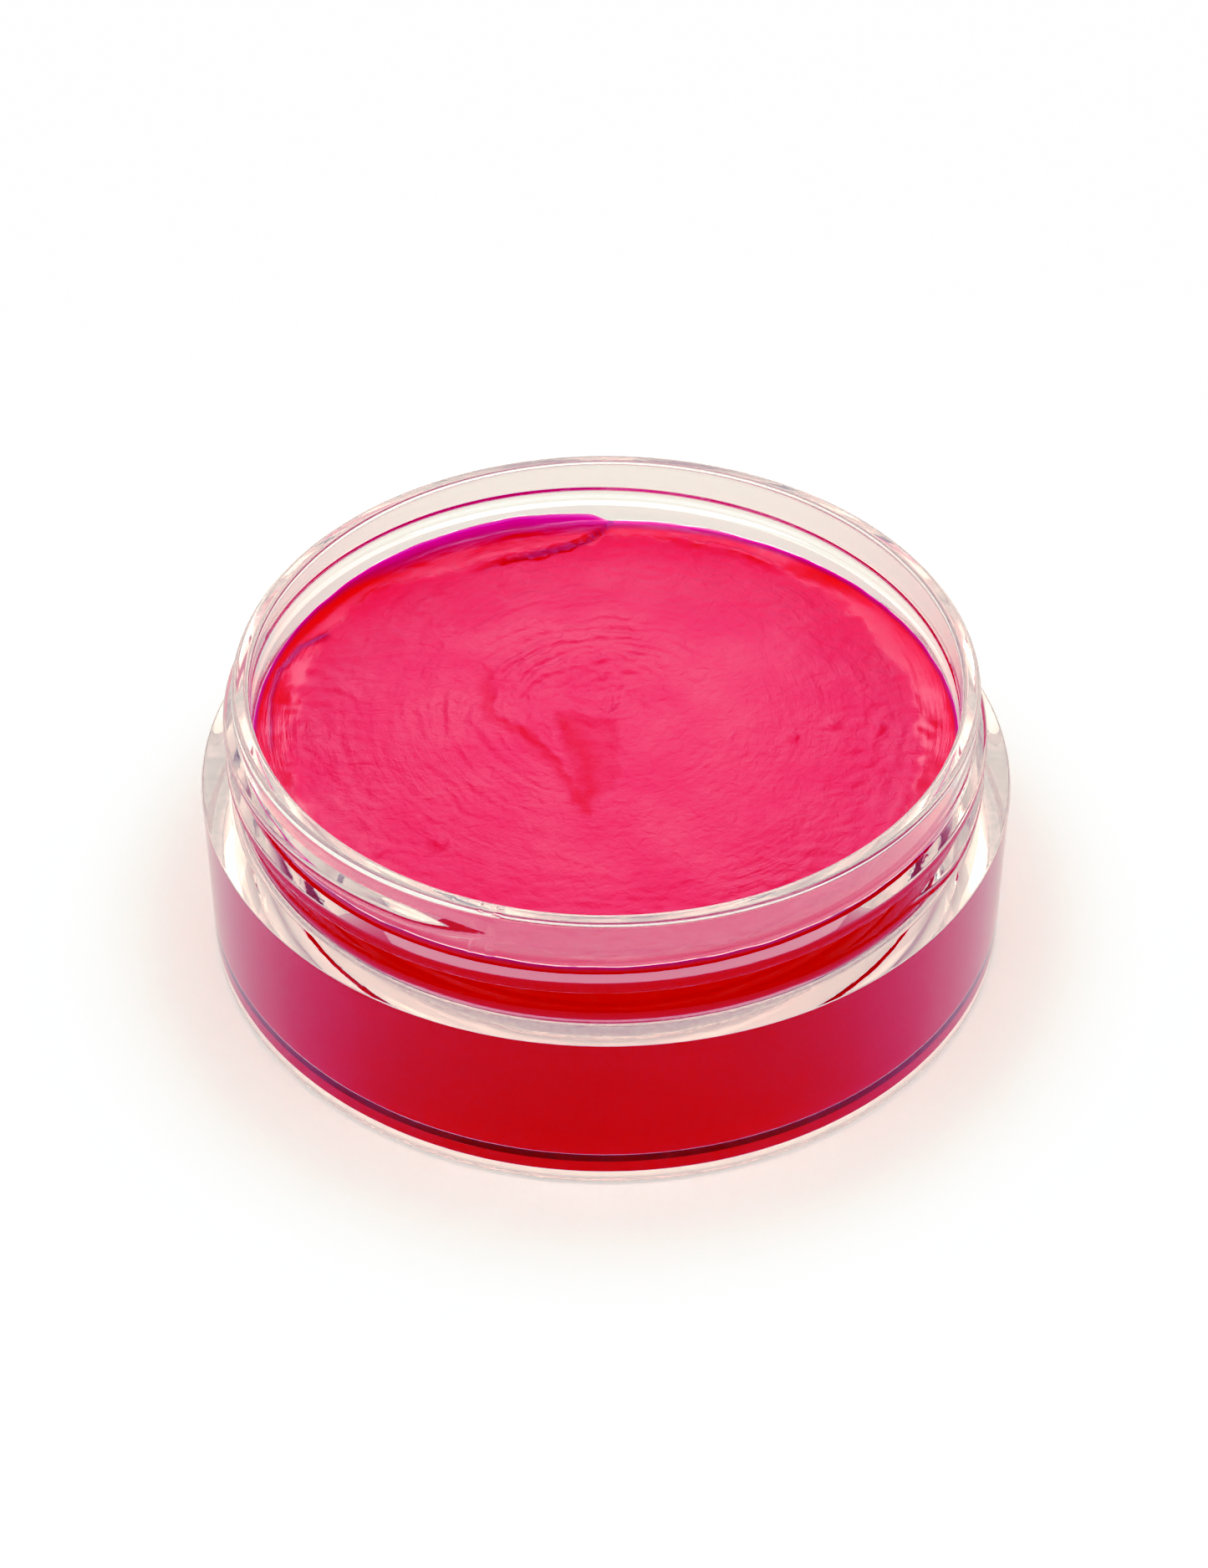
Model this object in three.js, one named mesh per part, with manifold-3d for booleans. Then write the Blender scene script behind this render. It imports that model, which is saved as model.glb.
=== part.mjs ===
// Shallow screw-neck paint jar of thick clear plastic, open and filled with thick paint.
// Millimetres, +Z up. The origin is the centre of the foot, on the surface the jar stands on.

import * as THREE from 'three';
import { mergeVertices } from 'three/addons/utils/BufferGeometryUtils.js';
import Module from 'manifold-3d';

// Driving sizes of the jar
const BODY_RADIUS = 37.5;
const SHOULDER_HEIGHT = 17.0;
const NECK_HEIGHT = 10.75;
const NECK_RADIUS = 34.05;
const CAVITY_RADIUS = 32.4;
const FLOOR_THICKNESS = 0.9;

// Edges and corners of the jar
const FOOT_ROUND = 0.5;
const FOOT_RECESS_RADIUS = 36.0;
const FOOT_RECESS_DEPTH = 0.1;
const FOOT_RECESS_SLOPE = 0.2;
const FOOT_GROOVE_RADIUS = 33.4;
const FOOT_GROOVE_DEPTH = 0.8;
const SHOULDER_EDGE = 0.12;
const NECK_FILLET = 1.0;
const RIM_ROUND = 0.5;
const CAVITY_CORNER = 0.4;

// Screw thread: one start, right hand. Heights are taken where its top flank leaves the neck.
const THREAD_PITCH = 4.15;
const THREAD_TURNS = 1.84375;
const THREAD_TOP_HEIGHT = 9.2;
const THREAD_TOP_DEGREES = -101.25;
const THREAD_DEPTH = 0.95;
const THREAD_TOP_FLANK_DROP = 0.6;
const THREAD_CREST = 0.8;
const THREAD_LOWER_FLANK_DROP = 0.8;
const THREAD_ROOT_BURY = 0.4;
const THREAD_RUNOUT_TURNS = 0.05;
const THREAD_END_SINK = 0.2;

// Paint: the level of its flat middle, and the edge that climbs the wall round a knee
const PAINT_LEVEL = 20.9;
const PAINT_EDGE_RISE = 1.2;
const PAINT_EDGE_WIDTH = 3;
const PAINT_KNEE_RISE = 0.6;
const PAINT_KNEE_WIDTH = 0.75;
const PAINT_GAP = 0.3;

// Fineness of the faceted surfaces
const ROUND_SEGMENTS = 96;
const CORNER_STEPS = 2;
const MERGE_DISTANCE = 0.0001;

const TOTAL_HEIGHT = SHOULDER_HEIGHT + NECK_HEIGHT;
const DEGREE = Math.PI / 180;

const wasm = await Module();
wasm.setup();

// Points of a quarter-round in a lathe profile, from one angle to the other.
function corner(x, y, radius, fromDegrees, toDegrees) {
  return Array.from({ length: CORNER_STEPS + 1 }, (_, i) => {
    const angle = (fromDegrees + ((toDegrees - fromDegrees) * i) / CORNER_STEPS) * DEGREE;
    return new THREE.Vector2(x + radius * Math.cos(angle), y + radius * Math.sin(angle));
  });
}

// Revolves a profile of (radius, height) points that starts and ends on the axis about +Z.
function revolve(profile) {
  const geometry = new THREE.LatheGeometry(profile, ROUND_SEGMENTS);
  return geometry.rotateX(Math.PI / 2);
}

// The half section of the jar without its thread, from the foot's centre round to the cavity's.
function jarProfile() {
  const at = (radius, height) => new THREE.Vector2(radius, height);
  return [
    at(0, FOOT_RECESS_DEPTH),
    at(FOOT_GROOVE_RADIUS, FOOT_RECESS_DEPTH),
    at(FOOT_GROOVE_RADIUS + FOOT_RECESS_SLOPE, FOOT_GROOVE_DEPTH),
    at(FOOT_RECESS_RADIUS, FOOT_GROOVE_DEPTH),
    at(FOOT_RECESS_RADIUS + FOOT_RECESS_SLOPE, 0),
    ...corner(BODY_RADIUS - FOOT_ROUND, FOOT_ROUND, FOOT_ROUND, -90, 0),
    at(BODY_RADIUS, SHOULDER_HEIGHT - SHOULDER_EDGE),
    at(BODY_RADIUS - SHOULDER_EDGE, SHOULDER_HEIGHT),
    ...corner(NECK_RADIUS + NECK_FILLET, SHOULDER_HEIGHT + NECK_FILLET, NECK_FILLET, 270, 180),
    ...corner(NECK_RADIUS - RIM_ROUND, TOTAL_HEIGHT - RIM_ROUND, RIM_ROUND, 0, 90),
    ...corner(CAVITY_RADIUS + RIM_ROUND, TOTAL_HEIGHT - RIM_ROUND, RIM_ROUND, 90, 180),
    ...corner(
      CAVITY_RADIUS - CAVITY_CORNER, FLOOR_THICKNESS + CAVITY_CORNER, CAVITY_CORNER, 0, -90,
    ),
    at(0, FLOOR_THICKNESS),
  ];
}

// The thread's section: x runs out from the neck's surface, and y up from where the top flank
// leaves it. The root is buried in the wall, so both flanks carry on inwards at their own slopes.
function threadSection() {
  const buried = THREAD_ROOT_BURY / THREAD_DEPTH;
  const crestTop = -THREAD_TOP_FLANK_DROP;
  const crestBottom = crestTop - THREAD_CREST;
  return new THREE.Shape([
    new THREE.Vector2(-THREAD_ROOT_BURY, crestBottom - THREAD_LOWER_FLANK_DROP * (1 + buried)),
    new THREE.Vector2(THREAD_DEPTH, crestBottom),
    new THREE.Vector2(THREAD_DEPTH, crestTop),
    new THREE.Vector2(-THREAD_ROOT_BURY, THREAD_TOP_FLANK_DROP * buried),
  ]);
}

// How far the thread's crest stands out of the neck: it sinks into the wall at its two ends.
function crestStand(turnsFromTop) {
  const toEnd = Math.min(turnsFromTop, THREAD_TURNS - turnsFromTop);
  const fade = THREE.MathUtils.smoothstep(toEnd, 0, THREAD_RUNOUT_TURNS);
  return THREE.MathUtils.lerp(-THREAD_END_SINK, THREAD_DEPTH, fade);
}

// Extrudes the section straight and winds it round the neck, down from the thread's top end.
function threadGeometry() {
  const steps = ROUND_SEGMENTS * THREAD_TURNS;
  const options = { depth: THREAD_TURNS, steps, bevelEnabled: false };
  const geometry = new THREE.ExtrudeGeometry(threadSection(), options);
  const place = geometry.attributes.position;
  for (let i = 0; i < place.count; i += 1) {
    const turns = place.getZ(i);
    const angle = THREAD_TOP_DEGREES * DEGREE - turns * 2 * Math.PI;
    const radius = NECK_RADIUS + (place.getX(i) > 0 ? crestStand(turns) : -THREAD_ROOT_BURY);
    const height = SHOULDER_HEIGHT + THREAD_TOP_HEIGHT - turns * THREAD_PITCH + place.getY(i);
    place.setXYZ(i, radius * Math.cos(angle), radius * Math.sin(angle), height);
  }
  return geometry;
}

// Turns a closed geometry into a solid that can be joined and cut.
function solidOf(geometry) {
  const bare = new THREE.BufferGeometry();
  bare.setAttribute('position', geometry.attributes.position);
  bare.setIndex(geometry.index);
  const merged = mergeVertices(bare, MERGE_DISTANCE);
  const vertProperties = new Float32Array(merged.attributes.position.array);
  const triVerts = new Uint32Array(merged.index.array);
  return new wasm.Manifold(new wasm.Mesh({ numProp: 3, vertProperties, triVerts }));
}

// Turns a solid back into a geometry.
function geometryOf(solid) {
  const mesh = solid.getMesh();
  const geometry = new THREE.BufferGeometry();
  geometry.setAttribute('position', new THREE.BufferAttribute(mesh.vertProperties, 3));
  geometry.setIndex(new THREE.BufferAttribute(mesh.triVerts, 1));
  geometry.computeVertexNormals();
  return geometry;
}

// One moulding: foot, thick wall, shoulder, neck, rim and thread.
function jar() {
  const solid = solidOf(revolve(jarProfile())).add(solidOf(threadGeometry()));
  const material = new THREE.MeshStandardMaterial({
    color: 0xe6e1dc, roughness: 0.05, metalness: 0, transparent: true, opacity: 0.3,
  });
  const mesh = new THREE.Mesh(geometryOf(solid), material);
  mesh.name = 'jar';
  return mesh;
}

// The half section of the paint: it fills the cavity and climbs a little where it meets the wall.
function paintProfile() {
  const at = (radius, height) => new THREE.Vector2(radius, height);
  const radius = CAVITY_RADIUS - PAINT_GAP;
  const bottom = FLOOR_THICKNESS + PAINT_GAP;
  return [
    at(0, bottom),
    ...corner(radius - CAVITY_CORNER, bottom + CAVITY_CORNER, CAVITY_CORNER, -90, 0),
    at(radius, PAINT_LEVEL + PAINT_EDGE_RISE),
    at(radius - PAINT_KNEE_WIDTH, PAINT_LEVEL + PAINT_KNEE_RISE),
    at(radius - PAINT_EDGE_WIDTH, PAINT_LEVEL),
    at(0, PAINT_LEVEL),
  ];
}

// The paint, held as one solid body.
function paint() {
  const material = new THREE.MeshStandardMaterial({ color: 0xe8173f, roughness: 0.4, metalness: 0 });
  const mesh = new THREE.Mesh(revolve(paintProfile()), material);
  mesh.name = 'paint';
  return mesh;
}

const paintJar = new THREE.Group();
paintJar.add(jar(), paint());

export default paintJar;
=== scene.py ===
"""Builds an open, shallow screw-neck jar of clear plastic, full of thick red paint."""

import math

import bpy
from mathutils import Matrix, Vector, noise


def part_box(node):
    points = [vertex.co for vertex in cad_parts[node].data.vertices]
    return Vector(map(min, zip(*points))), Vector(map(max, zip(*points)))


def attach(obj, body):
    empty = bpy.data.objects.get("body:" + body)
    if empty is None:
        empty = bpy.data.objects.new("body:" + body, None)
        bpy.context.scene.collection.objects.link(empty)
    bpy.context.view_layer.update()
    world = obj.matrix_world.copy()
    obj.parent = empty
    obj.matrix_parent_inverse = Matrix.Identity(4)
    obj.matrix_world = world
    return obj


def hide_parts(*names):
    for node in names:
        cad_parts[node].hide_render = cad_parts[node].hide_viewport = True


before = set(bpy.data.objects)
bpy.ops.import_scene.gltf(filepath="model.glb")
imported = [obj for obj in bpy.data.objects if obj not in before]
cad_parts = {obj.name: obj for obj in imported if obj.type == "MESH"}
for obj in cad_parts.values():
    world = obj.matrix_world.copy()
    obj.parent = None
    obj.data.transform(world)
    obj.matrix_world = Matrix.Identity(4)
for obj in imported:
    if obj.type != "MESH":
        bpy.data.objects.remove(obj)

bl_info = {
    "name": "Paint Jar",
    "version": (1, 0, 0),
    "blender": (4, 5, 0),
    "location": "View3D > Sidebar > Paint Jar",
    "description": "Models an open screw-neck jar of clear plastic, full of thick paint",
    "category": "Add Mesh",
}

MM = 0.001
TURN = 2 * math.pi
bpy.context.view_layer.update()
JAR_LOW, JAR_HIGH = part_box("jar")
PAINT_LOW, PAINT_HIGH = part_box("paint")
BODY_RADIUS = JAR_HIGH.x
TOTAL_HEIGHT = JAR_HIGH.z
CAD_GAP = 0.3 * MM
FLOOR_THICKNESS = PAINT_LOW.z - CAD_GAP
CAVITY_RADIUS = PAINT_HIGH.x + CAD_GAP


# ---------------------------------------------------------------- sizes and colours

def length(name, description, default):
    """A length in metres that the user can change."""
    return bpy.props.FloatProperty(
        name=name, description=description, default=default, unit="LENGTH", precision=5)


def colour(name, description, default):
    """A colour that the user can change."""
    return bpy.props.FloatVectorProperty(
        name=name, description=description, default=default, subtype="COLOR",
        size=3, min=0, max=1)


class JarSizes(bpy.types.PropertyGroup):
    """Sizes of the clear jar."""
    neck_height: length("Neck height", "From the shoulder up to the rim", 10.75 * MM)
    neck_radius: length("Neck radius", "Of the neck between the threads", 34.05 * MM)
    foot_round: length("Foot rounding", "Rounding of the wall into the foot", 0.5 * MM)
    foot_recess: length("Foot recess", "Depth of the hollow under the foot", 0.1 * MM)
    recess_radius: length("Recess radius", "Radius of the hollow under the foot", 36 * MM)
    groove_radius: length("Groove radius", "Inner radius of the groove in the hollow", 33.4 * MM)
    groove_depth: length("Groove depth", "Depth of the groove in the hollow", 0.8 * MM)
    shoulder_edge: length("Shoulder edge", "Rounding of the shoulder's edge", 0.12 * MM)
    neck_fillet: length("Neck fillet", "Where the neck rises from the shoulder", 1.0 * MM)
    rim_round: length("Rim rounding", "Rounding of both edges of the rim", 0.5 * MM)
    cavity_corner: length("Cavity corner", "Rounding at the cavity's floor", 0.4 * MM)


class ThreadSizes(bpy.types.PropertyGroup):
    """Sizes of the jar's one-start screw thread."""
    pitch: length("Pitch", "Rise in one turn", 4.15 * MM)
    turns: bpy.props.FloatProperty(name="Turns", description="Length in turns", default=1.84)
    top_height: length("Top height", "Thread's top end above the shoulder", 9.2 * MM)
    top_angle: bpy.props.FloatProperty(
        name="Top angle", description="Where the thread's top end stands",
        default=math.radians(-101.25), subtype="ANGLE")
    depth: length("Depth", "How far the crest stands out of the neck", 0.95 * MM)
    upper_flank: length("Upper flank", "Height of the sloping upper flank", 0.6 * MM)
    crest: length("Crest", "Height of the crest", 0.8 * MM)
    lower_flank: length("Lower flank", "Height of the sloping lower flank", 0.8 * MM)
    bury: length("Bury", "How deep the root is sunk in the neck", 0.4 * MM)
    softness: length("Softness", "Rounding of the crest's edges", 0.38 * MM)
    runout: bpy.props.FloatProperty(
        name="Run-out", description="Turns in which an end sinks into the neck", default=0.05)


class PaintSizes(bpy.types.PropertyGroup):
    """Sizes of the paint's surface."""
    level: length("Level", "Of the paint's middle, above the shoulder", 3.55 * MM)
    edge_width: length("Edge width", "How wide the rising edge is", 4.0 * MM)
    contact: length("Contact", "How far the paint is set into the jar's wall", 0.05 * MM)
    ring_step: length("Ring step", "Spacing of the rings of its surface", 0.22 * MM)


class Colours(bpy.types.PropertyGroup):
    """Colours of the paint, the plastic and the stage."""
    plastic: colour("Plastic", "Of the clear jar", (0.885, 0.865, 0.835))
    frosting: colour("Frosting", "Of the foot's matt ring", (0.80, 0.75, 0.71))
    paint_deep: colour("Deep paint", "Where the paint slopes", (0.67, 0.003, 0.004))
    paint_wall: colour("Wall paint", "Patches seen through the wall", (0.71, 0.004, 0.005))
    # Painted sheen: the level middle's colour stands in for the bright light above shining on it,
    # pinker than the deep red of the slopes. Its paler patches are painted sheen too.
    paint_sheen: colour("Pink paint", "On the level middle", (0.66, 0.004, 0.014))
    paint_sheen_bright: colour("Light paint", "Paler patches of the middle", (0.68, 0.006, 0.020))
    paint_crimson: colour("Crimson paint", "Near the top of the edge", (0.42, 0.003, 0.05))
    paint_magenta: colour("Magenta film", "Below the violet film", (0.66, 0.008, 0.20))
    paint_violet: colour("Violet film", "Thin film at the paint's edge", (0.80, 0.14, 0.55))
    # Painted shade: the dark red drawn along the creases of the folds, on the left and at the
    # back.
    paint_crease_shade: colour("Crease", "The folded skin on the left", (0.17, 0.003, 0.05))
    mirror: colour("Mirror", "Tint of what the contact turns back", (1.0, 0.95, 0.93))
    floor: colour("Floor", "Of the stage", (0.87, 0.93, 0.93))


class PaintJarSettings(bpy.types.PropertyGroup):
    """All that a user would change."""
    jar: bpy.props.PointerProperty(type=JarSizes)
    thread: bpy.props.PointerProperty(type=ThreadSizes)
    paint: bpy.props.PointerProperty(type=PaintSizes)
    colours: bpy.props.PointerProperty(type=Colours)


def settings():
    """The scene's own settings."""
    return bpy.context.scene.paint_jar


def shoulder_height():
    """Height of the shoulder above the foot."""
    return TOTAL_HEIGHT - settings().jar.neck_height


# ---------------------------------------------------------------- modelling helpers

JAR_STEPS = 288
PAINT_STEPS = 448
SMOOTH_ANGLE = math.radians(30)


def deselect():
    """Leaves nothing selected."""
    bpy.ops.object.select_all(action="DESELECT")


def only(piece):
    """Leaves one piece selected and active."""
    deselect()
    piece.select_set(True)
    bpy.context.view_layer.objects.active = piece


def arc(centre, radius, first, last, steps):
    """Points (radius, height) of an arc, between two angles in degrees."""
    points = []
    for i in range(steps + 1):
        angle = math.radians(first + (last - first) * i / steps)
        points.append((centre[0] + radius * math.cos(angle),
                       centre[1] + radius * math.sin(angle)))
    return points


def guarded(outline, guard):
    """Adds a point close to each end of the long straights, so that shading stays level."""
    points = [outline[0]]
    for start, end in zip(outline, outline[1:]):
        a, b = Vector(start), Vector(end)
        span = (b - a).length
        if span > 4 * guard:
            points.append(tuple(a.lerp(b, guard / span)))
            points.append(tuple(b.lerp(a, guard / span)))
        points.append(end)
    return points


def drawn_line(name, outline, closed=False):
    """Draws an outline of (radius, height) points, starting from a plane shrunk to a vertex."""
    deselect()
    bpy.ops.mesh.primitive_plane_add(size=MM)
    piece = bpy.context.object
    piece.name = name
    bpy.ops.object.mode_set(mode="EDIT")
    bpy.ops.mesh.select_mode(type="VERT")
    bpy.ops.mesh.select_all(action="SELECT")
    bpy.ops.mesh.merge(type="CENTER")
    bpy.ops.transform.translate(value=(outline[0][0], 0, outline[0][1]))
    for start, end in zip(outline, outline[1:]):
        step = (end[0] - start[0], 0, end[1] - start[1])
        bpy.ops.mesh.extrude_region_move(TRANSFORM_OT_translate={"value": step})
    if closed:
        bpy.ops.object.mode_set(mode="OBJECT")
        piece.data.vertices[0].select = True
        bpy.ops.object.mode_set(mode="EDIT")
        bpy.ops.mesh.edge_face_add()
    bpy.ops.object.mode_set(mode="OBJECT")
    return piece


def turned(name, outline, steps):
    """Spins a half section that starts and ends on the axis into a closed body."""
    piece = drawn_line(name, outline)
    bpy.ops.object.mode_set(mode="EDIT")
    bpy.ops.mesh.select_all(action="SELECT")
    bpy.ops.mesh.spin(steps=steps, angle=TURN, center=(0, 0, 0), axis=(0, 0, 1))
    tidy_shell()
    bpy.ops.object.mode_set(mode="OBJECT")
    return piece


def tidy_shell():
    """Merges doubles and turns every face outwards, in edit mode."""
    bpy.ops.mesh.select_all(action="SELECT")
    bpy.ops.mesh.remove_doubles(threshold=0.002 * MM)
    bpy.ops.mesh.normals_make_consistent(inside=False)


def applied(piece, kind, **values):
    """Adds a modifier with the given values and applies it."""
    only(piece)
    modifier = piece.modifiers.new(kind.title(), kind)
    for key, value in values.items():
        setattr(modifier, key, value)
    bpy.ops.object.modifier_apply(modifier=modifier.name)


def smoothed(piece):
    """Shades a piece smooth except at its real edges."""
    only(piece)
    bpy.ops.object.shade_smooth_by_angle(angle=SMOOTH_ANGLE)


def smoothstep(low, high, value):
    """0 below low, 1 above high and an even S between."""
    t = min(max((value - low) / (high - low), 0), 1)
    return t * t * (3 - 2 * t)


def finished(piece, node):
    """Hands a piece to the frame: hangs it on its body and hides the node it stands for."""
    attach(piece, "root")
    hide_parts(node)


# ---------------------------------------------------------------- the jar

GUARD = 0.06 * MM
ROUND_STEPS = 8
CORNER_STEPS = 6
EDGE_STEPS = 4
FOOT_SLOPE = 0.2 * MM


def jar_outline():
    """Half section of the jar, from the foot's centre round to the cavity's."""
    jar = settings().jar
    shoulder = shoulder_height()
    foot, rim, edge, fillet = jar.foot_round, jar.rim_round, jar.shoulder_edge, jar.neck_fillet
    corner = jar.cavity_corner
    outline = [(0, jar.foot_recess), (jar.groove_radius, jar.foot_recess),
               (jar.groove_radius + FOOT_SLOPE, jar.groove_depth),
               (jar.recess_radius, jar.groove_depth), (jar.recess_radius + FOOT_SLOPE, 0)]
    outline += arc((BODY_RADIUS - foot, foot), foot, -90, 0, ROUND_STEPS)
    outline += arc((BODY_RADIUS - edge, shoulder - edge), edge, 0, 90, EDGE_STEPS)
    outline += arc((jar.neck_radius + fillet, shoulder + fillet), fillet, 270, 180, ROUND_STEPS)
    outline += arc((jar.neck_radius - rim, TOTAL_HEIGHT - rim), rim, 0, 90, ROUND_STEPS)
    outline += arc((CAVITY_RADIUS + rim, TOTAL_HEIGHT - rim), rim, 90, 180, ROUND_STEPS)
    outline += arc((CAVITY_RADIUS - corner, FLOOR_THICKNESS + corner),
                   corner, 0, -90, CORNER_STEPS)
    outline.append((0, FLOOR_THICKNESS))
    return guarded(outline, GUARD)


def eased(before, point, after, reach, steps=5):
    """A corner of an outline, rounded between reach before it and reach after it."""
    a, p, b = Vector(before), Vector(point), Vector(after)
    start, end = p + (a - p).normalized() * reach, p + (b - p).normalized() * reach
    points = []
    for i in range(steps + 1):
        t = i / steps
        points.append(tuple(start.lerp(p, t).lerp(p.lerp(end, t), t)))
    return points


def thread_section():
    """Closed section of the thread at its bottom end, as (radius, height) points."""
    jar, thread = settings().jar, settings().thread
    root = jar.neck_radius - thread.bury
    crest = jar.neck_radius + thread.depth
    bury = thread.bury / thread.depth
    top = shoulder_height() + thread.top_height - thread.turns * thread.pitch
    crest_top = top - thread.upper_flank
    crest_bottom = crest_top - thread.crest
    root_bottom = crest_bottom - thread.lower_flank
    corners = [(root, root_bottom - thread.lower_flank * bury), (crest, crest_bottom),
               (crest, crest_top), (root, top + thread.upper_flank * bury)]
    section = [corners[0]]
    section += eased(corners[0], corners[1], corners[2], thread.softness)
    section += eased(corners[1], corners[2], corners[3], thread.softness)
    section.append(corners[3])
    return section


def model_thread():
    """The thread, wound up from its bottom end, its ends sunk into the neck."""
    jar, thread = settings().jar, settings().thread
    section = thread_section()
    ridge = drawn_line("thread_ridge", section, closed=True)
    steps = round(JAR_STEPS * thread.turns)
    applied(ridge, "SCREW", angle=TURN * thread.turns, steps=steps, render_steps=steps,
            screw_offset=thread.pitch * thread.turns, use_merge_vertices=False)
    low_end = thread.top_angle - TURN * thread.turns
    sunk = thread.depth + thread.bury / 2
    for index, vertex in enumerate(ridge.data.vertices):
        turn = (index // len(section)) / steps * thread.turns
        angle = low_end + TURN * turn
        radius = math.hypot(vertex.co.x, vertex.co.y)
        fade = smoothstep(0, thread.runout, min(turn, thread.turns - turn))
        if radius > jar.neck_radius:
            radius -= sunk * (1 - fade)
        vertex.co.x = radius * math.cos(angle)
        vertex.co.y = radius * math.sin(angle)
    only(ridge)
    bpy.ops.object.mode_set(mode="EDIT")
    bpy.ops.mesh.select_all(action="DESELECT")
    bpy.ops.mesh.select_non_manifold()
    bpy.ops.mesh.fill_holes(sides=0)
    tidy_shell()
    bpy.ops.object.mode_set(mode="OBJECT")
    return ridge


def model_jar():
    """The whole jar: foot, wall, shoulder, neck, rim and thread in one moulding."""
    jar = turned("jar_clear", jar_outline(), JAR_STEPS)
    ridge = model_thread()
    applied(jar, "BOOLEAN", operation="UNION", solver="EXACT", object=ridge)
    bpy.data.objects.remove(ridge)
    smoothed(jar)
    return jar


# ---------------------------------------------------------------- the paint
# Places on its surface are (right, back) from the middle, and they, their heights, widths and
# noise scales are in millimetres. Angles are in degrees from the right-hand side towards the
# back. The last argument of ripple and streak is only a seed.

# Angle, height above the shoulder at which the paint meets the wall, and how much of that
# rise is a thin film on the wall, the rest being a broad curve.
EDGE = (
    (0, 4.7, 0.12), (20, 4.3, 0.2), (40, 4.1, 0.45), (62, 4.0, 0.6), (82, 4.0, 0.7),
    (89, 3.8, 0.7), (93, 4.7, 0.9), (108, 5.2, 0.9), (126, 5.2, 0.85), (150, 5.0, 0.5),
    (170, 4.9, 0.15), (195, 4.9, 0.12), (225, 5.0, 0.15), (260, 5.2, 0.3), (285, 5.4, 0.3),
    (320, 5.6, 0.15), (345, 5.1, 0.12), (360, 4.7, 0.12),
)
# How the film thins away from the wall, and how sharply the broad curve meets the middle.
FILM_THICKNESS = 0.35
KNEE = 0.12
# Rings of the mesh close to the edge, below the level at the wall and inwards from it. Only
# the collar, down to just under the lowest of them, takes part in the edge's rise.
WALL_RINGS = (3.4, 2, 1, 0.5, 0.25, 0.1, 0)
EDGE_RINGS = (0, 0.03, 0.07, 0.12, 0.19, 0.28, 0.4)
COLLAR = (WALL_RINGS[0] + 0.05) * MM
EDGE_WAVER = 0.12

SWIRL_CENTRE = (0.5, 3.0)
TORN_PATCH = (-3.5, 9.5)
STIRRED_EDGE = ((-11.4, 11.5), (-10.7, 5.5), (-10.1, 2), (-7.7, 0.6), (-5.4, -2.7),
                (-3.6, -5.5), (-1.6, -10.8))
TONGUE = ((-4.9, 3.2), (-3.8, -4), (-1.8, -10.8), (0.4, -8.8), (1.5, -6.4), (1.3, 1.5))
TONGUE_MIDDLE = ((-4.6, 2.6), (-3.2, 0), (-1.5, -4.5), (-1.8, -10.8))
BACK_CREASE = ((0.5, 32.6), (-0.5, 31), (-2, 29.2), (-6, 27.4), (-9.5, 26.2), (-15.5, 22.2))
BACK_RIDGE = ((5, 29.9), (10, 28.7), (14, 27), (18, 23.4))
LEFT_FOLD = ((-26.2, 14.2), (-29, 11.5), (-30.7, 7.5), (-31.2, 3.5), (-30.9, -0.5), (-30.5, -4.5))
# Small lumps: right, back and size.
LUMPS = ((-15, -15.5, 1.2), (-20, -17, 1.0), (17, -1, 0.9), (21, 1, 1.1), (25, 0.5, 0.8))

STROKE_HEIGHT, STROKE_HEIGHT_LEFT = 0.015, 0.045
TORN_HEIGHT, TORN_GRAIN, TORN_SPREAD = 0.10, 0.05, 8
STROKE_STEP = 0.05
TONGUE_DEPTH, TONGUE_LIP = 0.16, 0.015
FOLD_STEP, FOLD_GROOVE, FOLD_GROOVE_WIDTH = 0.34, 0.16, 0.22
RIDGE_HEIGHT, RIDGE_GROOVE = 0.2, 0.1
SKIN_HEIGHT = 0.35
SWELL_HEIGHT, ROLL_HEIGHT = 0.16, 0.05
WRINKLE_HEIGHT, CRINKLE_HEIGHT, GRAIN_HEIGHT = 0.07, 0.035, 0.012
LUMP_HEIGHT = 0.16


def edge_at(degrees):
    """Height of the paint's edge above the shoulder in millimetres, and its share of film."""
    degrees %= 360
    for (a, low, thin_a), (b, high, thin_b) in zip(EDGE, EDGE[1:]):
        if a <= degrees <= b:
            t = smoothstep(a, b, degrees)
            return low + (high - low) * t, thin_a + (thin_b - thin_a) * t
    return EDGE[0][1:]


def rise_left(inwards, width, thin):
    """How much of the edge's rise is left at a distance inwards from the wall."""
    slope = 1 - inwards / width
    broad = (slope + math.hypot(slope, KNEE)) / (1 + math.hypot(1, KNEE))
    return thin * math.exp(-inwards / FILM_THICKNESS) + (1 - thin) * broad


def ripple(x, y, scale, seed):
    """Smooth noise between about -1 and 1."""
    return noise.noise(Vector((x / scale, y / scale, seed)))


def streak(radius, angle, across, along, seed):
    """Noise drawn out round the swirl's centre, with a grain across and along the stroke."""
    round_x, round_y = math.cos(angle) * along, math.sin(angle) * along
    return noise.noise(Vector((radius / across + seed, round_x, round_y)))


def along_line(line, x, y):
    """Distance to a line of points (positive on its right) and the share of it passed."""
    best, side, passed = 1e9, 1, 0
    for i, (start, end) in enumerate(zip(line, line[1:])):
        dx, dy = end[0] - start[0], end[1] - start[1]
        t = ((x - start[0]) * dx + (y - start[1]) * dy) / (dx * dx + dy * dy)
        t = min(max(t, 0), 1)
        away = math.hypot(x - start[0] - t * dx, y - start[1] - t * dy)
        if away < best:
            best, passed = away, (i + t) / (len(line) - 1)
            side = 1 if (x - start[0]) * dy - (y - start[1]) * dx > 0 else -1
    return best * side, passed


def bell(value, width):
    """1 at zero, falling away on both sides."""
    return math.exp(-(value / width) ** 2)


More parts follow.
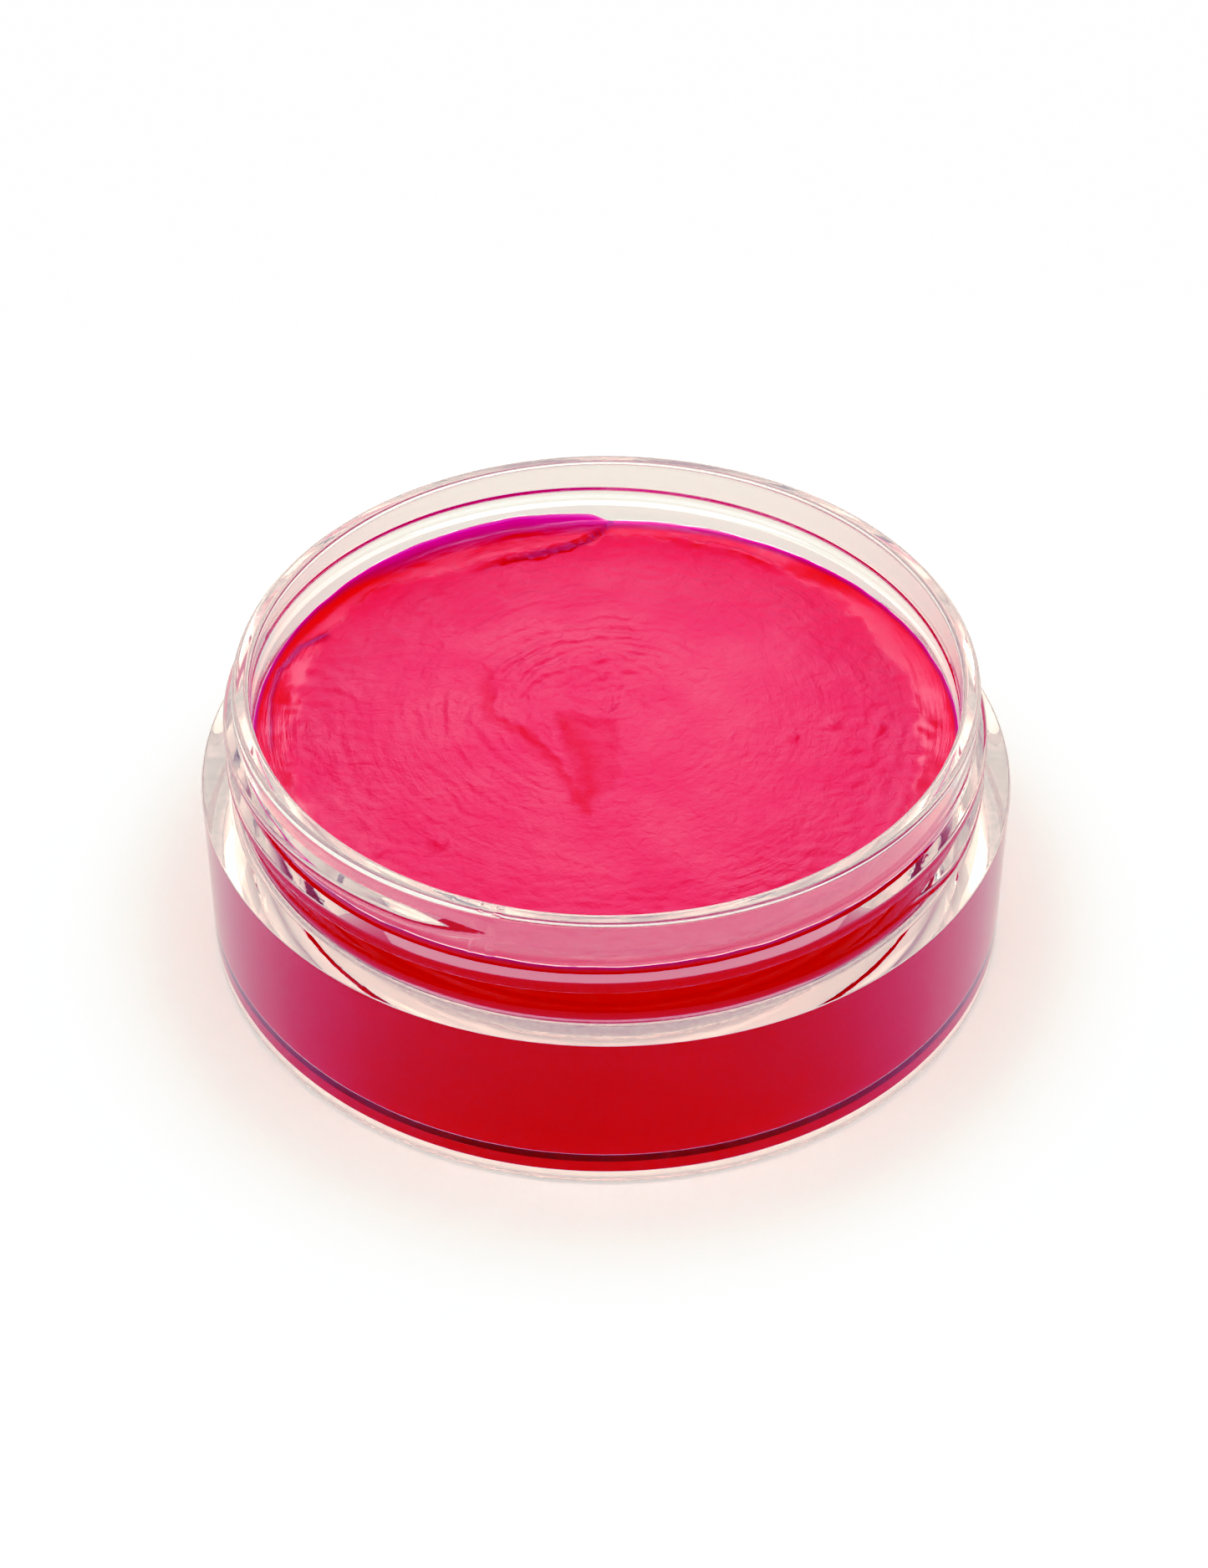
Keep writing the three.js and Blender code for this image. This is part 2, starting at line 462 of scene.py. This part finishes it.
def inside(corners, x, y):
    """Distance inside a convex outline whose corners run counter-clockwise."""
    least = 1e9
    for start, end in zip(corners, corners[1:] + corners[:1]):
        dx, dy = end[0] - start[0], end[1] - start[1]
        away = ((y - start[1]) * dx - (x - start[0]) * dy) / math.hypot(dx, dy)
        least = min(least, away)
    return least


def stirred(x, y):
    """Broad strokes round the swirl, stronger on its left and behind."""
    dx, dy = x - SWIRL_CENTRE[0], y - SWIRL_CENTRE[1]
    radius, angle = math.hypot(dx, dy), math.atan2(dy, dx)
    degrees = math.degrees(angle) % 360
    left = smoothstep(30, 80, degrees) * (1 - smoothstep(205, 250, degrees))
    ring = smoothstep(5, 8, radius) * (1 - smoothstep(17, 24, radius))
    strokes = 0.5 - 2 * abs(streak(radius, angle, 1.1, 1.6, 11))
    strokes += 0.6 * streak(radius, angle, 0.45, 2.5, 23)
    height = (STROKE_HEIGHT + STROKE_HEIGHT_LEFT * left * ring) * strokes
    away = math.hypot(x - TORN_PATCH[0], y - TORN_PATCH[1]) / (1 + 0.2 * ripple(x, y, 5, 3.3))
    torn = TORN_HEIGHT * streak(radius, angle, 0.7, 4.5, 5) + TORN_GRAIN * ripple(x, y, 0.9, 2.2)
    return height + bell(away, TORN_SPREAD) * torn


def edge_of_stroke(x, y):
    """The step where the stirring stick lifted the paint."""
    away, passed = along_line(STIRRED_EDGE, x, y)
    ends = smoothstep(0, 0.1, passed) * (1 - smoothstep(0.85, 1, passed))
    step = smoothstep(-0.35, 0.35, -away) * (1 - smoothstep(1.5, 6, -away))
    return ends * STROKE_STEP * step


def tongue(x, y):
    """The smooth pointed dent that the stick left at the middle."""
    depth = inside(TONGUE, x, y)
    return TONGUE_LIP * bell(depth + 0.4, 0.5) - TONGUE_DEPTH * smoothstep(-0.3, 1.8, depth)


def pressed_shade(x, y):
    """Where the stick dragged the paint, along its dent and inside it: painted shade there turns
    the sheen back to deep red, and the gloss is duller: 0 to 1.
    """
    x += 0.7 * ripple(x, y, 1.5, 31.5)
    along_edge, passed = along_line(STIRRED_EDGE, x, y)
    drag = smoothstep(-0.25, 0.1, along_edge) * (1 - smoothstep(0.3, 1.7, along_edge))
    drag *= smoothstep(0, 0.2, passed)
    along_tongue, passed = along_line(TONGUE_MIDDLE, x, y)
    dull_shade = bell(along_tongue, 0.9) * smoothstep(0, 0.15, passed)
    flat = smoothstep(-0.1, 0.5, inside(TONGUE, x, y))
    return min(0.8 * drag + 0.6 * dull_shade + 0.35 * flat, 1)


def back_folds(x, y):
    """The lip of paint that folded over at the back, and the ridge to its right."""
    away, passed = along_line(BACK_CREASE, x, y)
    ends = 1 - smoothstep(0.75, 1, passed)
    height = FOLD_STEP * smoothstep(-0.2, 0.3, away) * (1 - smoothstep(1.5, 5, away))
    height = ends * (height - FOLD_GROOVE * bell(away + 0.1, FOLD_GROOVE_WIDTH))
    away, passed = along_line(BACK_RIDGE, x, y)
    ends = smoothstep(0, 0.2, passed) * (1 - smoothstep(0.8, 1, passed))
    return height + ends * (RIDGE_HEIGHT * bell(away, 0.5) - RIDGE_GROOVE * bell(away - 0.8, 0.4))


def left_fold(x, y):
    """The thin skin that folded up along the left edge, with painted shade along its crease: 1 on
    its line.
    """
    away, passed = along_line(LEFT_FOLD, x, y)
    ends = smoothstep(0, 0.06, passed) * (1 - smoothstep(0.93, 1, passed))
    return ends * bell(away, 0.16 + 0.12 * (1 - passed)) * (0.8 - 0.5 * passed)


def back_fold(x, y):
    """Painted shade in the crease under the lip that folded over at the back: 1 on its line."""
    away, passed = along_line(BACK_CREASE, x, y)
    return 0.7 * bell(away + 0.1, FOLD_GROOVE_WIDTH) * (1 - smoothstep(0.6, 0.95, passed))


def paint_relief(x, y):
    """Height of the stirred surface over its level, in millimetres."""
    x += 0.5 * ripple(x, y, 3.1, 12.5) + 0.25 * ripple(x, y, 1.2, 14.5)
    y += 0.5 * ripple(x, y, 2.9, 17.5) + 0.25 * ripple(x, y, 1.3, 19.5)
    radius = math.hypot(x, y)
    height = SWELL_HEIGHT * ripple(x, y, 14, 1.5) + ROLL_HEIGHT * ripple(x, y, 4.5, 7.2)
    height += stirred(x, y) + edge_of_stroke(x, y) + tongue(x, y) + back_folds(x, y)
    wrinkled = smoothstep(17, 26, radius)
    height += wrinkled * WRINKLE_HEIGHT * ripple(x, y * 1.8, 1.7, 4.1)
    height += wrinkled * CRINKLE_HEIGHT * ripple(x, y, 0.8, 9.4)
    height += GRAIN_HEIGHT * ripple(x, y, 0.75, 6.6)
    for place_x, place_y, size in LUMPS:
        height += LUMP_HEIGHT * size * bell(math.hypot(x - place_x, y - place_y), 0.6 * size)
    return height


def paint_outline():
    """Half section of the paint, from the bottom's centre round to its surface's."""
    paint, corner = settings().paint, settings().jar.cavity_corner
    level = shoulder_height() + paint.level
    bottom = FLOOR_THICKNESS - paint.contact
    outline = [(0, bottom)]
    outline += arc((CAVITY_RADIUS - corner, FLOOR_THICKNESS + corner),
                   corner + paint.contact, -90, 0, CORNER_STEPS)
    outline += [(CAVITY_RADIUS + paint.contact, level - below * MM) for below in WALL_RINGS]
    outline += [(CAVITY_RADIUS - inwards * MM, level) for inwards in EDGE_RINGS]
    broad = CAVITY_RADIUS - EDGE_RINGS[-1] * MM
    rings = round(broad / paint.ring_step)
    outline += [(broad * (rings - i) / rings, level) for i in range(1, rings + 1)]
    return outline


def model_paint():
    """The paint: it fills the cavity and its stirred surface climbs the wall all round."""
    paint = settings().paint
    shoulder = shoulder_height()
    level = shoulder + paint.level
    body = turned("paint_fill", paint_outline(), PAINT_STEPS)
    names = ("edge_band", "open_middle", "dull_shade", "fold_shade")
    for name in names:
        body.data.attributes.new(name, "FLOAT", "POINT")
    marks = {name: body.data.attributes[name].data for name in names}
    for vertex in body.data.vertices:
        if vertex.co.z < level - COLLAR:
            marks["edge_band"][vertex.index].value = 1
            continue
        x, y = vertex.co.x / MM, vertex.co.y / MM
        below = (level - vertex.co.z) / MM
        inwards = max(CAVITY_RADIUS / MM - math.hypot(x, y), 0)
        rise, thin = edge_at(math.degrees(math.atan2(y, x)))
        rise += EDGE_WAVER * ripple(x, y, 2.5, 8.8) - paint.level / MM
        height = rise_left(inwards, paint.edge_width / MM, thin) * rise - below
        fold = left_fold(x, y)
        calm = 1 + 4 * (1 - thin)
        height += (paint_relief(x, y) + SKIN_HEIGHT * fold) * smoothstep(0, calm, inwards)
        vertex.co.z = level + height * MM
        from_edge = math.hypot(max(rise - height, 0), inwards)
        band = from_edge / (0.35 + 2.2 * thin ** 4)
        middle = 0.8 + 2.6 * (1 - thin) + 2.5 * smoothstep(0.7, 0.9, thin)
        middle += 0.8 * ripple(x, y, 1.6, 21.5)
        marks["edge_band"][vertex.index].value = min(band / 2 + 0.12 * (1 - thin), 1)
        # The open middle share lays the painted sheen over the deep red and makes the gloss
        # rougher.
        marks["open_middle"][vertex.index].value = smoothstep(middle, middle + 1.1, from_edge)
        # Painted shade of the stick's strokes, which also dulls the gloss.
        marks["dull_shade"][vertex.index].value = pressed_shade(x, y)
        # Painted shade along both folds.
        marks["fold_shade"][vertex.index].value = max(fold, back_fold(x, y))
    smoothed(body)
    return body


# ---------------------------------------------------------------- materials

def new_material(name):
    """A material with only its Principled shader, which is returned with its tree."""
    material = bpy.data.materials.new(name)
    material.use_nodes = True
    tree = material.node_tree
    return material, tree, tree.nodes["Principled BSDF"]


def node(tree, kind, **values):
    """Adds a node. A value goes to the input of that name, or else to the node itself."""
    made = tree.nodes.new("ShaderNode" + kind)
    for key, value in values.items():
        if key in made.inputs:
            made.inputs[key].default_value = value
        else:
            setattr(made, key, value)
    return made


def linked(tree, source, target):
    """Links an output to an input."""
    tree.links.new(source, target)


def cloudy_group():
    """Soft patches over a surface: a mask that goes from 0 to 1 and back at a given scale."""
    group = bpy.data.node_groups.new("cloudy_patches", "ShaderNodeTree")
    face = group.interface
    face.new_socket("Vector", in_out="INPUT", socket_type="NodeSocketVector")
    for name, default in (("Scale", 200.0), ("Detail", 4.0), ("Low", 0.35), ("High", 0.65)):
        socket = face.new_socket(name, in_out="INPUT", socket_type="NodeSocketFloat")
        socket.default_value = default
    face.new_socket("Mask", in_out="OUTPUT", socket_type="NodeSocketFloat")
    start = group.nodes.new("NodeGroupInput")
    end = group.nodes.new("NodeGroupOutput")
    clouds = node(group, "TexNoise", Roughness=0.55)
    spread = node(group, "MapRange")
    for name in ("Vector", "Scale", "Detail"):
        linked(group, start.outputs[name], clouds.inputs[name])
    linked(group, clouds.outputs["Fac"], spread.inputs["Value"])
    linked(group, start.outputs["Low"], spread.inputs["From Min"])
    linked(group, start.outputs["High"], spread.inputs["From Max"])
    linked(group, spread.outputs["Result"], end.inputs["Mask"])
    return group


def cloudy(tree, place, scale, detail, low, high):
    """Places the soft patches in a material and returns their mask."""
    group = bpy.data.node_groups.get("cloudy_patches") or cloudy_group()
    made = tree.nodes.new("ShaderNodeGroup")
    made.node_tree = group
    linked(tree, place, made.inputs["Vector"])
    for name, value in (("Scale", scale), ("Detail", detail), ("Low", low), ("High", high)):
        made.inputs[name].default_value = value
    return made.outputs["Mask"]


def blended(tree, share, first, second):
    """A colour between two, each a plain colour or another node's output."""
    mix = node(tree, "Mix", data_type="RGBA")
    linked(tree, share, mix.inputs[0])
    for source, socket in ((first, mix.inputs[6]), (second, mix.inputs[7])):
        if isinstance(source, bpy.types.NodeSocket):
            linked(tree, source, socket)
        else:
            socket.default_value = (*source, 1)
    return mix.outputs[2]


def reckoned(tree, operation, first, second):
    """A Math node's result. Each term is a number or another node's output."""
    made = node(tree, "Math", operation=operation)
    for source, socket in ((first, made.inputs[0]), (second, made.inputs[1])):
        if isinstance(source, bpy.types.NodeSocket):
            linked(tree, source, socket)
        else:
            socket.default_value = source
    return made.outputs[0]


def ramped(tree, value, stops):
    """A colour ramp with (position, colour) stops."""
    ramp = node(tree, "ValToRGB")
    elements = ramp.color_ramp.elements
    while len(elements) < len(stops):
        elements.new(1)
    for element, (position, tint) in zip(elements, stops):
        element.position = position
        element.color = (*tint, 1)
    linked(tree, value, ramp.inputs[0])
    return ramp.outputs["Color"]


def bumped(tree, height, distance, strength, under=None):
    """A Bump node's normal, laid over another one where it is given."""
    bump = node(tree, "Bump", Distance=distance)
    linked(tree, height, bump.inputs["Height"])
    if isinstance(strength, bpy.types.NodeSocket):
        linked(tree, strength, bump.inputs["Strength"])
    else:
        bump.inputs["Strength"].default_value = strength
    if under:
        linked(tree, under, bump.inputs["Normal"])
    return bump.outputs["Normal"]


PLASTIC_IOR = 1.59
PAINT_IOR = 1.35
SANDED_SHADE = 0.85


def clear_plastic():
    """Clear, thick, moulded plastic with the faintest unevenness of its skin."""
    colours = settings().colours
    material, tree, shader = new_material("clear_plastic")
    shader.inputs["Base Color"].default_value = (*colours.plastic, 1)
    shader.inputs["Roughness"].default_value = 0
    shader.inputs["IOR"].default_value = PLASTIC_IOR
    shader.inputs["Transmission Weight"].default_value = 1
    place = node(tree, "TexCoord").outputs["Object"]
    waves = node(tree, "TexNoise", Scale=420, Detail=3)
    linked(tree, place, waves.inputs["Vector"])
    linked(tree, bumped(tree, waves.outputs["Fac"], 0.01 * MM, 0.2), shader.inputs["Normal"])
    return material


def matt_plastic():
    """The sanded plastic of the foot's standing ring."""
    tint = settings().colours.frosting
    material, tree, shader = new_material("matt_foot_ring")
    shader.inputs["IOR"].default_value = PLASTIC_IOR
    shader.inputs["Transmission Weight"].default_value = 0.85
    place = node(tree, "TexCoord").outputs["Object"]
    sanded = cloudy(tree, place, 1500, 3, 0.35, 0.65)
    darker = [SANDED_SHADE * part for part in tint]
    linked(tree, blended(tree, sanded, tint, darker), shader.inputs["Base Color"])
    roughness = node(tree, "MapRange")
    roughness.inputs["To Min"].default_value = 0.5
    roughness.inputs["To Max"].default_value = 0.7
    linked(tree, sanded, roughness.inputs["Value"])
    linked(tree, roughness.outputs["Result"], shader.inputs["Roughness"])
    return material


def stroke_bump(tree, place, middle):
    """Fine lines of the stirring stick and the paint's grain, as a normal."""
    strength = reckoned(tree, "ADD", reckoned(tree, "MULTIPLY", middle, 0.7), 0.15)
    centred = node(tree, "Mapping")
    centred.inputs["Location"].default_value = (-SWIRL_CENTRE[0] * MM, -SWIRL_CENTRE[1] * MM, 0)
    linked(tree, place, centred.inputs["Vector"])
    radius = node(tree, "VectorMath", operation="LENGTH")
    linked(tree, centred.outputs["Vector"], radius.inputs[0])
    across = node(tree, "CombineXYZ")
    linked(tree, reckoned(tree, "MULTIPLY", radius.outputs["Value"], 20), across.inputs["Z"])
    drawn_out = node(tree, "VectorMath", operation="ADD")
    linked(tree, centred.outputs["Vector"], drawn_out.inputs[0])
    linked(tree, across.outputs["Vector"], drawn_out.inputs[1])
    strokes = node(tree, "TexNoise", Scale=160, Detail=4, Roughness=0.6)
    linked(tree, drawn_out.outputs["Vector"], strokes.inputs["Vector"])
    stroked = cloudy(tree, place, 110, 2, 0.42, 0.62)
    lines = reckoned(tree, "MULTIPLY", strokes.outputs["Fac"], stroked)
    grain = node(tree, "TexNoise", Scale=2600, Detail=3)
    linked(tree, place, grain.inputs["Vector"])
    crinkle = node(tree, "TexNoise", Scale=800, Detail=4, Distortion=0.8)
    linked(tree, place, crinkle.inputs["Vector"])
    first = bumped(tree, lines, 0.07 * MM, 0.9)
    second = bumped(tree, crinkle.outputs["Fac"], 0.1 * MM, strength, first)
    return bumped(tree, grain.outputs["Fac"], 0.03 * MM, strength, second)


def edge_colours(tree, first, body):
    """The thin edge's colours: the first at the very edge, then magenta, crimson, the body."""
    colours = settings().colours
    band = node(tree, "Attribute", attribute_name="edge_band").outputs["Fac"]
    film = ramped(tree, band, ((0.04, first), (0.14, colours.paint_magenta),
                               (0.35, colours.paint_crimson)))
    share = node(tree, "MapRange", interpolation_type="SMOOTHSTEP")
    share.inputs["From Min"].default_value = 0.3
    share.inputs["From Max"].default_value = 0.8
    linked(tree, band, share.inputs["Value"])
    return blended(tree, share.outputs["Result"], film, body)


def paint_surface():
    """The paint's open surface: creamy and half glossy, violet where it thins at the wall, with
    painted sheen on its level middle and painted shade in the stick's strokes and the folds.
    """
    colours = settings().colours
    material, tree, shader = new_material("paint_surface")
    place = node(tree, "TexCoord").outputs["Object"]
    patches = cloudy(tree, place, 160, 4, 0.38, 0.66)
    # Painted sheen of the light above over the level middle, in paler patches.
    sheen_red = blended(tree, patches, colours.paint_sheen, colours.paint_sheen_bright)
    dull_shade = node(tree, "Attribute", attribute_name="dull_shade").outputs["Fac"]
    # Painted shade where the stick's strokes turn away from the light: the sheen gives way to
    # deep red.
    sheen_red = blended(tree, dull_shade, sheen_red, colours.paint_deep)
    edge = edge_colours(tree, colours.paint_violet, colours.paint_deep)
    middle = node(tree, "Attribute", attribute_name="open_middle").outputs["Fac"]
    # Painted shade along the folds' creases.
    skin = node(tree, "Attribute", attribute_name="fold_shade").outputs["Fac"]
    body = blended(tree, middle, edge, sheen_red)
    linked(tree, blended(tree, skin, body, colours.paint_crease_shade), shader.inputs["Base Color"])
    dull = reckoned(tree, "MULTIPLY", middle, reckoned(tree, "ADD", patches, 3))
    dull = reckoned(tree, "ADD", dull, reckoned(tree, "MULTIPLY", dull_shade, 1.6))
    sheen = node(tree, "MapRange")
    sheen.inputs["From Max"].default_value = 6
    sheen.inputs["To Min"].default_value = 0.2
    sheen.inputs["To Max"].default_value = 0.62
    linked(tree, dull, sheen.inputs["Value"])
    linked(tree, sheen.outputs["Result"], shader.inputs["Roughness"])
    linked(tree, stroke_bump(tree, place, middle), shader.inputs["Normal"])
    return material


def paint_contact():
    """The paint against the plastic: low rays are turned back there like in a mirror."""
    colours = settings().colours
    material, tree, shader = new_material("paint_contact")
    place = node(tree, "TexCoord").outputs["Object"]
    patches = cloudy(tree, place, 90, 5, 0.35, 0.7)
    body = blended(tree, patches, colours.paint_deep, colours.paint_wall)
    body = edge_colours(tree, colours.paint_magenta, body)
    fresnel = node(tree, "Fresnel", IOR=PAINT_IOR / PLASTIC_IOR).outputs["Fac"]
    linked(tree, blended(tree, fresnel, body, colours.mirror), shader.inputs["Base Color"])
    linked(tree, fresnel, shader.inputs["Metallic"])
    shader.inputs["Roughness"].default_value = 0.03
    shader.inputs["Specular IOR Level"].default_value = 0
    waves = node(tree, "TexNoise", Scale=260, Detail=4)
    linked(tree, place, waves.inputs["Vector"])
    linked(tree, bumped(tree, waves.outputs["Fac"], 0.03 * MM, 0.8), shader.inputs["Normal"])
    return material


# ---------------------------------------------------------------- operators

# How far up the foot's rounding its sanded ring goes.
SANDED_SHARE = 0.6
# Faces that look further down than this belong to the paint's underside.
UNDERSIDE = -0.1


class JAR_OT_clear_jar(bpy.types.Operator):
    """Models the clear jar with its screw thread"""
    bl_idname = "paint_jar.clear_jar"
    bl_label = "Clear jar"

    def execute(self, context):
        jar = model_jar()
        jar.data.materials.append(clear_plastic())
        jar.data.materials.append(matt_plastic())
        foot, recess = settings().jar.foot_round, settings().jar.recess_radius
        for face in jar.data.polygons:
            centre = face.center
            outside = math.hypot(centre.x, centre.y) > recess + FOOT_SLOPE
            if outside and centre.z < SANDED_SHARE * foot:
                face.material_index = 1
        finished(jar, "jar")
        return {"FINISHED"}


class JAR_OT_paint(bpy.types.Operator):
    """Models the paint that fills the jar"""
    bl_idname = "paint_jar.paint"
    bl_label = "Paint"

    def execute(self, context):
        body = model_paint()
        body.data.materials.append(paint_surface())
        body.data.materials.append(paint_contact())
        for face in body.data.polygons:
            centre = face.center
            at_wall = math.hypot(centre.x, centre.y) > CAVITY_RADIUS
            if at_wall or face.normal.z < UNDERSIDE:
                face.material_index = 1
        finished(body, "paint")
        return {"FINISHED"}


CAMERA_ELEVATION = math.radians(40.3)
CAMERA_DISTANCE = 8.3 * BODY_RADIUS
CAMERA_LENS = 76.8
CAMERA_SENSOR = 36
AIM_BELOW = math.radians(0.408)
AIM_LEFT = math.radians(0.033)
CLIP_START = 0.01
FLOOR_SIZE = 4
FLOOR_DROP = 0.02 * MM


class JAR_OT_stage(bpy.types.Operator):
    """Makes the floor, the soft light and the camera"""
    bl_idname = "paint_jar.stage"
    bl_label = "Stage"

    def execute(self, context):
        make_floor()
        make_light()
        make_camera()
        return {"FINISHED"}


def make_floor():
    """A plain pale floor."""
    deselect()
    bpy.ops.mesh.primitive_plane_add(size=FLOOR_SIZE, location=(0, 0, 0))
    floor = bpy.context.object
    floor.name = "stage_floor"
    bpy.ops.object.mode_set(mode="EDIT")
    bpy.ops.mesh.select_all(action="SELECT")
    bpy.ops.transform.translate(value=(0, 0, -FLOOR_DROP))
    bpy.ops.object.mode_set(mode="OBJECT")
    material, tree, shader = new_material("pale_floor")
    shader.inputs["Base Color"].default_value = (*settings().colours.floor, 1)
    shader.inputs["Roughness"].default_value = 1
    shader.inputs["Specular IOR Level"].default_value = 0
    floor.data.materials.append(material)


WORLD_STRENGTH = 1.1
# Soft panels, for the gloss only: name, width, depth, distance, height in degrees above the
# horizon behind the jar, and radiance.
PANELS = (
    ("back_panel", 0.28, 0.42, 0.7, 42, 2.3),
    ("top_panel", 1.6, 0.42, 1.0, 106, 3.0),
)
# Tone of the finished picture: light in the scene, light in the picture. The colours of the
# paint, the plastic and the floor are set to look right through this curve.
TONE = ((0.06, 0.003), (0.095, 0.022), (0.15, 0.1), (0.22, 0.21), (0.4, 0.43), (0.6, 0.62),
        (0.7, 0.71), (0.78, 0.83), (0.84, 0.94), (0.9, 0.995))
BLUE_TONE = ((0.03, 0.025), (0.1, 0.15), (0.3, 0.365), (0.5, 0.5))
BLUE_CURVE, COMBINED_CURVE = 2, 3
THROUGH_BOUNCES = 24
GLOSSY_BOUNCES = 12
DIFFUSE_BOUNCES = 8


def make_light():
    """White surroundings, and soft panels behind and above."""
    world = bpy.data.worlds.new("white_room")
    world.use_nodes = True
    back = world.node_tree.nodes["Background"]
    back.inputs["Color"].default_value = (1, 1, 1, 1)
    back.inputs["Strength"].default_value = WORLD_STRENGTH
    bpy.context.scene.world = world
    for name, width, depth, distance, height, radiance in PANELS:
        panel = bpy.data.lights.new(name, "AREA")
        panel.shape = "RECTANGLE"
        panel.size = width
        panel.size_y = depth
        panel.energy = radiance * math.pi * width * depth
        lamp = bpy.data.objects.new(name, panel)
        lamp.visible_diffuse = False
        away = Vector((0, math.cos(math.radians(height)), math.sin(math.radians(height))))
        lamp.location = away * distance
        lamp.rotation_mode = "QUATERNION"
        lamp.rotation_quaternion = (-away).to_track_quat("-Z", "Y")
        bpy.context.scene.collection.objects.link(lamp)
    set_tone()


def set_tone():
    """The picture's tone curve, and enough bounces for the thick plastic."""
    scene = bpy.context.scene
    view = scene.view_settings
    view.view_transform = "Standard"
    view.use_curve_mapping = True
    curves = view.curve_mapping.curves
    for index, points in ((COMBINED_CURVE, TONE), (BLUE_CURVE, BLUE_TONE)):
        for light, shown in points:
            curves[index].points.new(light, shown)
    view.curve_mapping.update()
    scene.cycles.max_bounces = THROUGH_BOUNCES
    scene.cycles.transmission_bounces = THROUGH_BOUNCES
    scene.cycles.glossy_bounces = GLOSSY_BOUNCES
    scene.cycles.diffuse_bounces = DIFFUSE_BOUNCES
    scene.cycles.blur_glossy = 0


def make_camera():
    """Looks down on the jar from the front."""
    lens = bpy.data.cameras.new("camera")
    lens.lens = CAMERA_LENS
    lens.sensor_width = CAMERA_SENSOR
    lens.clip_start = CLIP_START
    camera = bpy.data.objects.new("camera", lens)
    bpy.context.scene.collection.objects.link(camera)
    target = Vector((0, 0, shoulder_height()))
    back = Vector((0, -math.cos(CAMERA_ELEVATION), math.sin(CAMERA_ELEVATION)))
    camera.location = target + back * CAMERA_DISTANCE
    pitch = CAMERA_ELEVATION + AIM_BELOW
    ahead = Vector((-math.tan(AIM_LEFT), math.cos(pitch), -math.sin(pitch)))
    camera.rotation_mode = "QUATERNION"
    camera.rotation_quaternion = ahead.to_track_quat("-Z", "Y")
    bpy.context.scene.camera = camera


# ---------------------------------------------------------------- panel and main

class JAR_PT_panel(bpy.types.Panel):
    """Lists the jar's pieces and sizes"""
    bl_label = "Paint Jar"
    bl_idname = "JAR_PT_panel"
    bl_space_type = "VIEW_3D"
    bl_region_type = "UI"
    bl_category = "Paint Jar"

    def draw(self, context):
        for group in (settings().jar, settings().thread, settings().paint, settings().colours):
            box = self.layout.box()
            for name in group.__annotations__:
                box.prop(group, name)
        for operator in PIECES:
            self.layout.operator(operator.bl_idname)


PIECES = (JAR_OT_clear_jar, JAR_OT_paint, JAR_OT_stage)
CLASSES = (JarSizes, ThreadSizes, PaintSizes, Colours, PaintJarSettings, *PIECES, JAR_PT_panel)


def register():
    for cls in CLASSES:
        bpy.utils.register_class(cls)
    bpy.types.Scene.paint_jar = bpy.props.PointerProperty(type=PaintJarSettings)


def unregister():
    del bpy.types.Scene.paint_jar
    for cls in reversed(CLASSES):
        bpy.utils.unregister_class(cls)


def main():
    """Registers the add-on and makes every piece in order."""
    register()
    bpy.ops.paint_jar.clear_jar()
    bpy.ops.paint_jar.paint()
    bpy.ops.paint_jar.stage()


if __name__ == "__main__":
    main()
